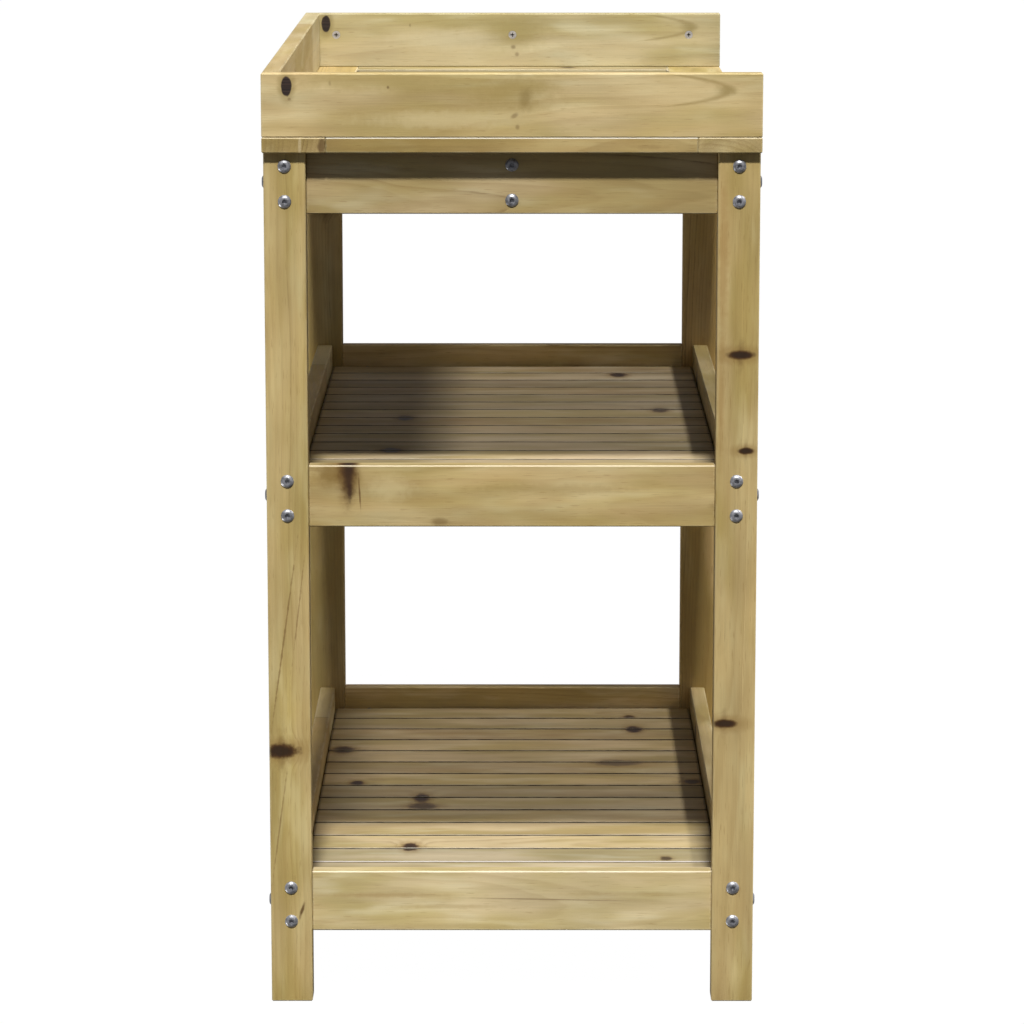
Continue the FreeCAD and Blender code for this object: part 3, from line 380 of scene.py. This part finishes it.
    planer = n.m("SINE", n.m("MULTIPLY", n.m("MULTIPLY_ADD", wz, 1.5, u), 2.1))
    h = n.m("MULTIPLY", late, 0.35)
    h = n.m("MULTIPLY_ADD", fib, 0.9, h)
    h = n.m("MULTIPLY_ADD", hair, 0.35, h)
    h = n.m("MULTIPLY_ADD", planer, 0.035, h)
    h = n.m("MULTIPLY_ADD", n.m("MULTIPLY", end, saw), 1.2, h)
    rough = n.m("MULTIPLY_ADD", fib, 0.22, 0.50)
    rough = n.m("MULTIPLY_ADD", late, -0.10, rough)
    rough = n.m("MULTIPLY_ADD", end, 0.12, rough)
    if knotty is not None:
        rough = n.m("MULTIPLY_ADD", knotty, -0.14, rough)
        h = n.m("MULTIPLY_ADD", knotty, 0.5, h)
    return n.finish(col, rough, h, specular=0.38, bump=0.35, distance=0.00022)


def zinc(name, base=(176, 178, 180), seed=1, dark=0.35, metallic=0.6, shaded_recess_from=None):
    """Bright zinc with a faint spangle, handling marks and a duller film in patches; it can also paint shade into the
    recess of screw heads.
    """
    n = Net(name)
    tc = n.add("ShaderNodeTexCoord")
    p = n.v("ADD", n.v("SCALE", tc.outputs["Object"], scale=1000.0), (seed * 31.0, seed * 17.0, seed * 5.0))
    film = n.noise(p, 0.35, 3.0, 0.6)
    spot = n.noise(p, 1.6, 2.0, 0.6)
    lines = n.noise(n.v("MULTIPLY", p, (0.4, 0.4, 4.0)), 1.0, 1.0, 0.5)
    col = n.mix(n.step(film, 0.35, 0.68), lin(base), lin(tuple(c * (1 - dark) for c in base)))
    col = n.mix(n.step(spot, 0.60, 0.74, 0.0, 0.35), col, lin((214, 214, 210)))
    col = n.mix(n.step(spot, 0.36, 0.26, 0.0, 0.35), col, lin((120, 112, 98)))
    if shaded_recess_from is not None:                # painted shade in the recess of the heads on the right edge board
        x = n.split(tc.outputs["Object"])[0]
        col = n.mix(n.step(n.m("SUBTRACT", x, shaded_recess_from), 0.00012, 0.0005, 0.0, 0.9), col, lin((58, 54, 52)))
    rough = n.m("MULTIPLY_ADD", film, 0.24, 0.24)
    rough = n.m("MULTIPLY_ADD", lines, 0.10, rough)
    h = n.m("MULTIPLY_ADD", lines, 0.4, n.m("MULTIPLY", spot, 0.6))
    return n.finish(col, rough, h, metallic=metallic, specular=0.5, bump=0.25, distance=0.0001)


def dress(name, mat):
    ob = nodes[name]
    if not ob.material_slots:
        ob.data.materials.append(mat)
    for s in ob.material_slots:
        s.material = mat


TINTS = (("slat", (0.56, 0.60, 0.76)), ("left_front_leg", (0.70, 0.69, 0.60)), ("left_back_leg", (0.74, 0.74, 0.65)),
         ("right_front_leg", (0.86, 0.79, 0.64)), ("leg", (0.77, 0.77, 0.70)), ("apron", (0.70, 0.71, 0.74)),
         ("lower_left_rail", (0.92, 0.98, 1.12)), ("middle_left_rail", (0.78, 0.79, 0.76)), ("middle_right_rail", (0.98, 0.98, 0.98)), ("lower_right_rail", (1.22, 1.22, 1.25)), ("lower_back_rail", (1.16, 1.17, 1.18)), ("rail", (0.86, 0.88, 0.86)),
         ("left_edge_board", (0.86, 0.88, 0.89)), ("right_edge_board", (0.72, 0.80, 0.93)), ("back_edge_board", (0.76, 0.82, 0.92)),
         ("worktop", (0.58, 0.62, 0.66)), ("stringer", (0.72, 0.73, 0.74)))


def tint_of(name):
    return next(t for part, t in TINTS if part in name)


def board(name, grain, seed, **more):
    lo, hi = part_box(name)
    more.setdefault("tint", tint_of(name))
    dress(name, wood("pine_" + name, grain, lo, hi, seed, **more))


# legs: fibres along Z
board("left_back_leg", "z", 11, bold=0.15, pith=(-30, 14), tilt=(0.012, 0.02), spacing=5.0, contrast=0.30, brown=0.35,
      knots=[dict(at=(None, 213, 240), face="x", r=(7, 17), dark=0.95, halo=2.4, wild=0.7),
             dict(at=(None, 195, 88), face="x", r=(11, 2.0), streak=True, dark=0.9, slant=1.6, wild=0.8, colour=(98, 66, 30)),
             dict(at=(None, 210, 342), face="x", r=(105, 1.1), streak=True, dark=0.62, slant=13.5, wild=1.5, colour=(120, 88, 42)),
             dict(at=(None, 196, 372), face="x", r=(60, 0.9), streak=True, dark=0.50, slant=8.0, wild=1.6, colour=(120, 88, 42)),
             dict(at=(None, 215, 168), face="x", r=(70, 1.0), streak=True, dark=0.50, slant=9.5, wild=1.6, colour=(120, 88, 42))])
board("left_front_leg", "z", 12, bold=0.15, pith=(24, -30), tilt=(-0.01, 0.024), spacing=4.6, contrast=0.30, brown=0.30,
      stains=[dict(at=(None, -191, 700), face="x", r=(110, 6), colour=(164, 122, 60), amount=0.45),
              dict(at=(None, -190, 560), face="x", r=(70, 4), colour=(166, 126, 64), amount=0.35)],
      knots=[dict(at=(None, -208, 609.5), face="x", r=(4.2, 12.5), dark=1.0, halo=2.8),
             dict(at=(None, -213, 521), face="x", r=(3.2, 7.5), dark=1.0, halo=2.8),
             dict(at=(None, -196, 266), face="x", r=(4.2, 12), dark=0.9, halo=2.8)])
board("right_back_leg", "z", 13, spacing=4.2, contrast=0.5, brown=0.4,
      knots=[dict(at=(None, 203, 655), face="x", r=(5, 12), dark=0.9)])
board("right_front_leg", "z", 14, spacing=4.8, contrast=0.5, brown=0.3,
      knots=[dict(at=(None, -208, 330), face="x", r=(5, 12), dark=0.9)])

# rails between the legs: fibres along Y at the ends, along X on the long sides
board("left_apron", "y", 21, brown=0.35, contrast=0.45, spacing=4.2)
board("right_apron", "y", 22, brown=0.30)
board("middle_left_rail", "y", 23, pith=(-4, 46), tilt=(0.02, 0.04), spacing=5.2, contrast=0.36, brown=0.45, bold=0.4, lip=0.55,
      stains=[dict(at=(None, 165, 498), face="x", r=(17, 16), colour=(134, 104, 46), amount=0.75),
              dict(at=(None, 146, 492), face="x", r=(12, 18), colour=(150, 122, 62), amount=0.5),
              dict(at=(None, 112, 484), face="x", r=(26, 15), colour=(228, 208, 160), amount=0.45),
              dict(at=(None, -40, 484), face="x", r=(95, 6), colour=(150, 122, 64), amount=0.30),
              dict(at=(None, 66, 453), face="x", r=(10, 5), colour=(120, 92, 46), amount=0.6)],
      knots=[dict(at=(None, 151.5, 514), face="x", r=(14.5, 50), streak=True, dark=0.95, wild=0.30, colour=(128, 94, 42)),
             dict(at=(None, 150.0, 513), face="x", r=(11.0, 50), streak=True, dark=1.0, wild=0.45, colour=(84, 54, 22)),
             dict(at=(None, 149.5, 514), face="x", r=(6.5, 46), streak=True, dark=0.9, wild=0.45, colour=(56, 34, 14)),
             dict(at=(None, 148.5, 482), face="x", r=(2.6, 13), streak=True, dark=0.8, wild=0.5, colour=(60, 34, 14)),
             dict(at=(None, 139.5, 480), face="x", r=(1.6, 13), streak=True, dark=0.8, wild=0.6, slant=-1.2, colour=(104, 70, 30))])
board("lower_left_rail", "y", 24, pith=(6, -52), tilt=(0.03, 0.035), spacing=5.6, contrast=0.34, brown=0.18, lip=0.35,
      stains=[dict(at=(None, 120, 99), face="x", r=(78, 3.2), colour=(158, 126, 70), amount=0.45),
              dict(at=(None, 60, 88), face="x", r=(60, 2.4), colour=(160, 130, 74), amount=0.35),
              dict(at=(None, -110, 100), face="x", r=(70, 3.0), colour=(160, 130, 74), amount=0.35)],
      knots=[dict(at=(None, -30, 95), face="x", r=(95, 0.9), streak=True, dark=0.55, slant=-1.9, wild=0.35)])
board("middle_right_rail", "y", 25, brown=0.35,
      knots=[dict(at=(None, -70, 475), face="x", r=(11, 7), dark=0.7)])
board("lower_right_rail", "y", 26, brown=0.25)
board("front_apron", "x", 31, brown=0.35, spacing=4.4,
      knots=[dict(at=(-150, None, 770), face="y", r=(11, 8), dark=0.7),
             dict(at=(232, None, 752), face="y", r=(7, 5), dark=0.9)])
board("back_apron", "x", 32, brown=0.35, spacing=4.6, seam=232.0,
      knots=[dict(at=(-60, None, 760), face="y", r=(9, 7), dark=0.6)])
board("centre_stringer", "x", 33, brown=0.30)
board("middle_front_rail", "x", 34, brown=0.25, spacing=4.2,
      knots=[dict(at=(262, None, 484), face="y", r=(12, 10), dark=0.65, halo=2.6),
             dict(at=(-190, None, 470), face="y", r=(8, 6), dark=0.7)])
board("middle_back_rail", "x", 35, brown=0.30, spacing=4.8, seam=232.0)
board("lower_front_rail", "x", 36, brown=0.30, spacing=4.6,
      knots=[dict(at=(224, None, 108), face="y", r=(12, 9), dark=0.6, halo=2.6),
             dict(at=(-40, None, 88), face="y", r=(9, 7), dark=0.75)])
board("lower_back_rail", "x", 37, brown=0.28, spacing=5.0, seam=232.0,
      knots=[dict(at=(-240, None, 96), face="y", r=(10, 8), dark=0.7)])

# shelf slats: fibres along Y, every slat with its own tone
# knots of each shelf: x, y, half size across the slat, half size along it, how dark
LOWER_KNOTS = ((-220, 99, 14, 7, 0.95), (-30, 92, 17, 7, 0.8), (-62, 90, 13, 13, 0.45), (34, 160, 9, 6, 0.85), (178, 180, 14, 11, 0.75),
               (272, -132, 14, 8, 0.85), (330, -128, 9, 5, 0.65), (40, -186, 9, 7, 0.7), (120, -110, 12, 22, 0.30), (-262, -148, 7, 5, 0.5))
MIDDLE_KNOTS = ((310, -114, 14, 8, 0.85), (70, -151, 13, 8, 0.5), (-174, 117, 13, 9, 0.8), (20, 108, 14, 7, 0.6), (-300, 20, 7, 5, 0.4))
for shelf, known in (("lower", LOWER_KNOTS), ("middle", MIDDLE_KNOTS)):
    for k in range(1, 16):
        seed = 100 + k + (40 if shelf == "middle" else 0)
        rng = random.Random(400 + seed)
        centre = -349.58 + 49.94 * (k - 1)
        kn = [dict(at=(x, y, None), face="z", r=(b * 1.15, a * 1.12), dark=dk, halo=2.1, wild=0.8)
              for x, y, a, b, dk in known if abs(x - centre) < 23 + 0.8 * a]
        # the lower shelf's slats are tinted by where light falls on them: the far ones, in shade, are painted lighter,
        # and the front three, in the key light, get paler gap sides and a stronger painted bevel highlight
        tone = (0.64, 0.665, 0.80) if shelf == "middle" else ((0.57, 0.63, 0.82), (0.61, 0.63, 0.71), (0.72, 0.72, 0.775))[(k > 3) + (k > 8)]
        board("%s_shelf_slat_%02d" % (shelf, k), "y", seed, spacing=rng.uniform(3.4, 5.6), contrast=rng.uniform(0.28, 0.60),
              brown=rng.choice((0.05, 0.15, 0.3, 0.45, 0.7)), light=rng.uniform(0.84, 1.10), knots=kn, wear=0.22,
              side=(0.42, 0.38, 0.36) if shelf == "lower" and k < 4 else (0.09, 0.085, 0.08), grimy=True, bold=0.35,
              tint=tone, lip=0.75 if shelf == "lower" and k < 4 else 0.4)

# worktop
board("worktop_back_board", "x", 41, brown=0.15, ends=0.3, tint=(0.69, 0.67, 0.56), flat=("y", "z"), lip=0.6,
      stains=[dict(at=(-412, 170.5, 800), face="x", r=(4.5, 9), colour=(96, 68, 36), amount=0.85, core=0.6, deep=12),
              dict(at=(-412, 190.5, 800), face="x", r=(1.6, 9), colour=(240, 222, 186), amount=0.8, core=0.5, deep=12)])
board("worktop_front_board", "x", 42, brown=0.05, ends=0.2, tint=(0.66, 0.66, 0.59), flat=("y", "z"), light=1.05, lip=0.6,
      stains=[dict(at=(-412, -165.0, 800), face="x", r=(3.0, 9), colour=(140, 96, 52), amount=0.6, core=0.4, deep=10)])
board("worktop_left_board", "y", 43, brown=0.55, flat=("x", "z"), contrast=0.55, lip=0.9, spacing=4.0, pith=(60, 4), tilt=(0.01, 0.012),
      knots=[dict(at=(None, -126, 799), face="x", r=(5, 7), dark=0.5, halo=2.6, deep=22)],
      side=(1.12, 1.02, 0.80), bold=0.2,
      # a darker band along the top of the near face, a paler band along its bottom, and a dark joint line at the front
      # board
      stains=[dict(at=(None, 0, 804), face="x", r=(420, 4.6), colour=(168, 138, 84), amount=0.55, core=0.5, deep=22),
              dict(at=(None, 20, 795.5), face="x", r=(420, 3.6), colour=(240, 216, 162), amount=0.6, core=0.4, deep=22),
              dict(at=(None, -164, 800), face="x", r=(4.5, 9), colour=(146, 98, 54), amount=0.7, core=0.4, deep=22)])
board("worktop_right_board", "y", 44, brown=0.25, flat=("x", "z"), lip=0.5,
      knots=[dict(at=(384, -60, None), face="z", r=(8, 7), dark=0.8)])
lo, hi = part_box("worktop_slats")
dress("worktop_slats", wood("pine_worktop_slats", "y", lo, hi, 45, spacing=4.4, contrast=0.5, brown=0.10,
                            repeat=("x", -352.8, 46.2, 50.4), flat=("x", "z"), tint=(0.60, 0.65, 0.72), wear=0.4, side=(0.30, 0.29, 0.28), grimy=True, bold=0.4, dim=(302.5, 0.72), lip=0.5))
lo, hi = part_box("deck_battens")
dress("deck_battens", wood("pine_deck_battens", "x", lo, hi, 46, spacing=4.6, contrast=0.5, brown=0.25, tint=(0.72, 0.74, 0.74)))

# the low boards round the worktop
board("left_edge_board", "y", 51, bold=0.0, pith=(-18, 36), tilt=(0.01, 0.045), spacing=6.5, contrast=0.26, brown=0.32,
      knots=[dict(at=(None, 202, 853.6), face="x", r=(4.8, 8.8), black=True, wild=0.25),
             dict(at=(None, 199.5, 842), face="x", r=(2.0, 1.6), dark=0.5, streak=True),
             dict(at=(None, 111, 852.5), face="x", r=(1.6, 1.9), dark=0.7, streak=True),
             dict(at=(None, 163, 856), face="x", r=(1.6, 3.0), dark=0.3, streak=True),
             dict(at=(None, -2, 827), face="x", r=(4, 3), dark=0.5, streak=True, slant=0.4),
             dict(at=(None, -5, 817), face="x", r=(2.5, 3), dark=0.45, streak=True)],
      stains=[dict(at=(None, 6, 850), face="x", r=(200, 21), arc=0.05, colour=(148, 124, 66), amount=0.55, core=0.0),
              dict(at=(None, -191, 850), face="x", r=(13, 5), colour=(150, 128, 72), amount=0.45),
              dict(at=(None, -150, 846), face="x", r=(34, 9), colour=(214, 190, 138), amount=0.45),
              dict(at=(None, -4, 846), face="x", r=(44, 26), colour=(158, 134, 72), amount=0.55),
              dict(at=(None, -12, 843), face="x", r=(8, 13), colour=(136, 112, 56), amount=0.55),
              dict(at=(None, 120, 858), face="x", r=(90, 12), colour=(168, 146, 86), amount=0.5),
              dict(at=(None, 60, 824), face="x", r=(95, 10), colour=(216, 196, 150), amount=0.5)])
board("right_edge_board", "y", 52, bold=0.0, pith=(-18, -36), tilt=(0.01, -0.045), spacing=6.5, contrast=0.26, brown=0.14,
      knots=[dict(at=(None, 202, 854), face="x", r=(4.8, 8.8), black=True, wild=0.25),
             dict(at=(None, 111, 852.5), face="x", r=(1.6, 2.4), dark=0.4, streak=True),
             dict(at=(None, -1, 829), face="x", r=(3.5, 3), dark=0.5, streak=True),
             dict(at=(None, -5, 821), face="x", r=(3, 3), dark=0.45, streak=True)],
      stains=[dict(at=(None, 6, 850), face="x", r=(200, 21), arc=0.05, colour=(152, 128, 72), amount=0.5, core=0.0),
              dict(at=(None, -191, 850), face="x", r=(13, 5), colour=(154, 132, 76), amount=0.4),
              dict(at=(None, -4, 846), face="x", r=(40, 26), colour=(170, 146, 84), amount=0.5),
              dict(at=(None, 70, 836), face="x", r=(70, 14), colour=(226, 206, 160), amount=0.4)])
board("back_edge_board", "x", 53, brown=0.35, spacing=5.2, contrast=0.34, seam=232.0,
      knots=[dict(at=(-120, None, 838), face="y", r=(9, 7), dark=0.6)])

dress("frame_bolts", zinc("zinc_bolts", (166, 167, 173), 1, 0.30))
dress("barrel_nuts", zinc("zinc_nuts", (170, 172, 172), 2, 0.30))
near = [v.co.x for v in nodes["wood_screws"].data.vertices if abs(v.co.y) < 0.012 and abs(v.co.z - 0.842) < 0.012 and v.co.x > 0.38]
dress("wood_screws", zinc("zinc_screws", (204, 202, 204), 3, 0.18, shaded_recess_from=min(near)))
dress("tool_hooks", zinc("zinc_hooks", (176, 178, 180), 4, 0.30))

# ------------------------------------------------------------------ studio
def floor_material():
    n = Net("studio_floor")
    path = n.add("ShaderNodeLightPath")
    diff = n.add("ShaderNodeBsdfDiffuse")
    diff.inputs["Color"].default_value = (0.08, 0.08, 0.08, 1)
    glow = n.add("ShaderNodeEmission")
    glow.inputs["Color"].default_value = (1, 1, 1, 1)
    glow.inputs["Strength"].default_value = 1.075
    m1 = n.add("ShaderNodeMixShader")
    n.put(m1.inputs[0], n.m("MULTIPLY", path.outputs["Is Camera Ray"], 0.93))
    n.t.links.new(diff.outputs[0], m1.inputs[1])
    n.t.links.new(glow.outputs[0], m1.inputs[2])
    clear = n.add("ShaderNodeBsdfTransparent")
    geo = n.add("ShaderNodeNewGeometry")
    m2 = n.add("ShaderNodeMixShader")
    n.put(m2.inputs[0], n.m("MAXIMUM", geo.outputs["Backfacing"], path.outputs["Is Shadow Ray"]))
    n.t.links.new(m1.outputs[0], m2.inputs[1])
    n.t.links.new(clear.outputs[0], m2.inputs[2])
    out = n.add("ShaderNodeOutputMaterial")
    n.t.links.new(m2.outputs[0], out.inputs[0])
    return n.mat


me = bpy.data.meshes.new("studio_floor")
S = 60.0
me.from_pydata([(-S, -S, -0.0005), (S, -S, -0.0005), (S, S, -0.0005), (-S, S, -0.0005)], [], [(0, 1, 2, 3)])
floor = bpy.data.objects.new("studio_floor", me)
me.materials.append(floor_material())
scene.collection.objects.link(floor)


def sun(name, towards, strength, spread, colour=(1, 1, 1)):
    d = bpy.data.lights.new(name, "SUN")
    d.energy = strength
    d.angle = math.radians(spread)
    d.color = colour
    o = bpy.data.objects.new(name, d)
    o.rotation_mode = "QUATERNION"
    o.rotation_quaternion = Vector(towards).to_track_quat("-Z", "Y")
    scene.collection.objects.link(o)
    return o


E = math.radians(53)
sun("key", (math.cos(E), 0.0, -math.sin(E)), 4.7, 4.0, (1.0, 0.99, 0.965))
E = math.radians(42.3)
sun("side", (0.0, math.cos(E), -math.sin(E)), 2.3, 7.0, (1.0, 0.985, 0.98))
# low fills for the two far sides: they come up from the floor, so they leave the shelves alone
E = math.radians(42)
sun("fill_back", (0.0, -math.cos(E), math.sin(E)), 1.1, 10.0)
sun("fill_right", (-math.cos(E), 0.0, math.sin(E)), 1.9, 10.0)

world = bpy.data.worlds.new("studio")
scene.world = world
world.use_nodes = True
wt = world.node_tree
wt.nodes.clear()
wp = wt.nodes.new("ShaderNodeLightPath")
wb = wt.nodes.new("ShaderNodeBackground")
wb.inputs["Color"].default_value = (0.93, 0.97, 1.12, 1)
wr = wt.nodes.new("ShaderNodeMapRange")
wr.inputs["To Min"].default_value = 0.16
wr.inputs["To Max"].default_value = 1.05
wt.links.new(wp.outputs["Is Camera Ray"], wr.inputs["Value"])
wt.links.new(wr.outputs[0], wb.inputs["Strength"])
wo = wt.nodes.new("ShaderNodeOutputWorld")
wt.links.new(wb.outputs[0], wo.inputs[0])

scene.view_settings.view_transform = "Standard"
scene.view_settings.look = "None"
scene.view_settings.exposure = 0.0
scene.view_settings.gamma = 1.0

# ------------------------------------------------------------------ camera
cam = bpy.data.cameras.new("camera")
cam.sensor_width = 36.0
cam.sensor_fit = "HORIZONTAL"
cam.lens = 148.63
cam.clip_start, cam.clip_end = 0.1, 200.0
camera = bpy.data.objects.new("camera", cam)
scene.collection.objects.link(camera)
camera.location = (-4.2025, -0.0028, 1.168)
T, Y = math.radians(10.494), math.radians(0.0411)
camera.rotation_mode = "QUATERNION"
camera.rotation_quaternion = Vector((math.cos(T) * math.cos(Y), math.cos(T) * math.sin(Y), -math.sin(T))).to_track_quat("-Z", "Y")
scene.camera = camera
